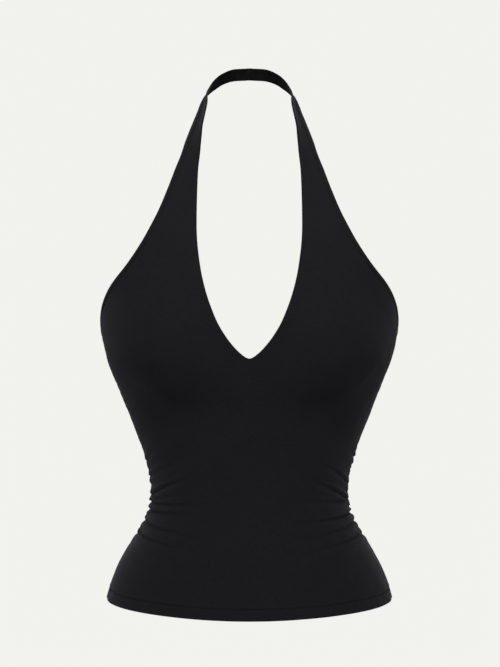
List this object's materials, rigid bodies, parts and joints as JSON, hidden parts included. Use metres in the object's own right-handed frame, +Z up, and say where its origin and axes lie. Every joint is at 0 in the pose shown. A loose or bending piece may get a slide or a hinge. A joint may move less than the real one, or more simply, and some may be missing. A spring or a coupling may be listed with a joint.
{
  "type": "halter neck top",
  "caption": "Fitted halter neck top in doubled jersey: deep V front cut in one with its straps, narrow neck band, low back, side seams gathered at the waist and a turned hem.",
  "frame": {"origin": "the middle of the neck strap's inner face, where the nape holds the top up", "axes": "+X is the wearer's left, the front faces -Y, and +Z is up"},
  "size_m": [0.3172, 0.2126, 0.5895],
  "materials": {
    "jersey_panel": "smooth knit with a soft sheen",
    "jersey_band": "smooth knit with a soft sheen"
  },
  "bodies": {
    "root": {"front_panel": "jersey_panel", "back_panel": "jersey_panel", "neck_strap": "jersey_band", "armhole_band_left": "jersey_band", "armhole_band_right": "jersey_band", "back_band": "jersey_band"}
  },
  "joints": []
}
